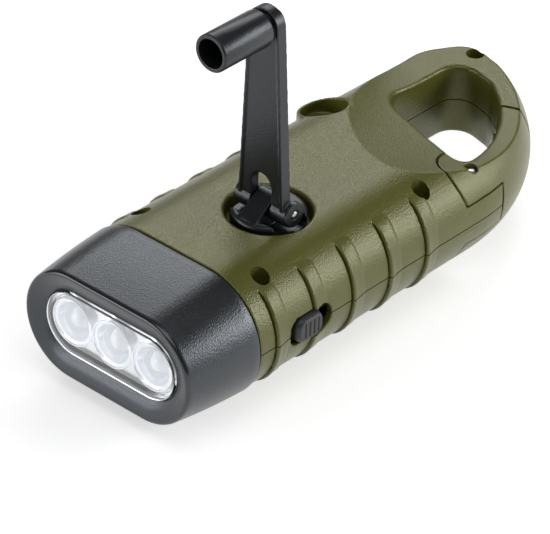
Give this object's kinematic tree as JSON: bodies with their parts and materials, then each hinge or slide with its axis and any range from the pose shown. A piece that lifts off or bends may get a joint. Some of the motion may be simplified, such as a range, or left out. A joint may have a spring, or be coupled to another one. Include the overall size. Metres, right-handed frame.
{
  "type": "hand crank flashlight",
  "caption": "Palm-sized torch with a fold-out crank on one broad face, a solar cell on the other, a clear-lensed head, a slide switch and a carabiner tail.",
  "frame": {"origin": "on the solar frame's flat face, below the middle of the overall length and width", "axes": "+X from the head to the carabiner tail, -Y the side of the switch and the gate, +Z out of the crank face"},
  "size_m": [0.143, 0.0528, 0.0848],
  "materials": {
    "olive_shell": "fine-grained moulded plastic, olive green",
    "black_cap": "satin black moulded plastic with a fine grain",
    "black_gloss": "glossy black moulded plastic",
    "clear_lens": "clear moulded acrylic",
    "chrome_reflector": "vacuum chromed plastic",
    "led_lamp": "clear epoxy lamp",
    "circuit_board": "green solder resist",
    "bright_steel": "plain bright steel",
    "brass_gear": "turned brass",
    "white_nylon": "natural moulded nylon",
    "magnet": "bonded ferrite magnet",
    "copper_coil": "enamelled copper winding",
    "solar_window": "clear resin over a pinkish tan amorphous cell with fine stripes"
  },
  "bodies": {
    "housing": {"top_shell": "olive_shell", "bottom_shell": "olive_shell", "case_screw_1": "bright_steel", "case_screw_2": "bright_steel", "case_screw_3": "bright_steel", "case_screw_4": "bright_steel", "head_cap": "black_cap", "lens": "clear_lens", "reflector": "chrome_reflector", "led_board": "circuit_board", "led_1": "led_lamp", "led_2": "led_lamp", "led_3": "led_lamp", "gear_plate": "white_nylon", "second_axle": "bright_steel", "third_axle": "bright_steel", "stator_frame": "bright_steel", "stator_coil": "copper_coil", "solar_frame": "black_cap", "solar_cell": "solar_window", "main_board": "circuit_board", "battery_holder": "black_cap", "battery_cell_1": "bright_steel", "battery_cell_2": "bright_steel", "battery_cell_3": "bright_steel", "switch_can": "bright_steel", "gate_pin": "bright_steel", "gate_spring": "bright_steel"},
    "hub": {"crank_hub": "black_gloss", "arm_hinge_pin": "bright_steel", "crank_gear": "white_nylon", "hub_washer": "bright_steel", "hub_screw": "bright_steel"},
    "arm": {"crank_arm": "black_gloss", "knob_spindle": "bright_steel"},
    "knob": {"crank_knob": "black_gloss"},
    "second_stage": {"second_gear": "white_nylon"},
    "third_stage": {"third_gear": "white_nylon"},
    "rotor": {"rotor_pinion": "brass_gear", "rotor_shaft": "bright_steel", "rotor_magnet": "magnet"},
    "thumb": {"switch_thumb": "black_cap", "switch_lever": "white_nylon"},
    "gate": {"carabiner_gate": "olive_shell"}
  },
  "joints": [
    {"name": "crank_spin", "type": "hinge", "parent": "housing", "child": "hub", "pos_m": [-0.0238, -0.0035, 0.03], "axis": [0, 0, 1], "continuous": true},
    {"name": "arm_fold", "type": "hinge", "parent": "hub", "child": "arm", "pos_m": [-0.0238, -0.0035, 0.03364], "axis": [0, 1, 0], "range_deg": [-65, 90]},
    {"name": "knob_spin", "type": "hinge", "parent": "arm", "child": "knob", "pos_m": [-0.036, -0.0035, 0.08044], "axis": [1, 0, 0], "continuous": true},
    {"name": "second_gear_spin", "type": "hinge", "parent": "housing", "child": "second_stage", "pos_m": [-0.01064, 0.00129, 0.02], "axis": [0, 0, 1], "continuous": true},
    {"name": "third_gear_spin", "type": "hinge", "parent": "housing", "child": "third_stage", "pos_m": [-0.00414, -0.00997, 0.02], "axis": [0, 0, 1], "continuous": true},
    {"name": "rotor_spin", "type": "hinge", "parent": "housing", "child": "rotor", "pos_m": [-0.00117, 0.00114, 0.012], "axis": [0, 0, 1], "continuous": true},
    {"name": "switch_slide", "type": "slide", "parent": "housing", "child": "thumb", "axis": [1, 0, 0], "range_m": [0, 0.002]},
    {"name": "gate_swing", "type": "hinge", "parent": "housing", "child": "gate", "pos_m": [0.0264, -0.02, 0.0164], "axis": [0, 0, 1], "range_deg": [0, 25], "stiffness_Nm_per_rad": 0.02, "springref_deg": -20.05}
  ],
  "couplings": [
    {"joint": "second_gear_spin", "follows": "crank_spin", "ratio": -3.6667},
    {"joint": "third_gear_spin", "follows": "crank_spin", "ratio": 12.222},
    {"joint": "rotor_spin", "follows": "crank_spin", "ratio": -44}
  ]
}
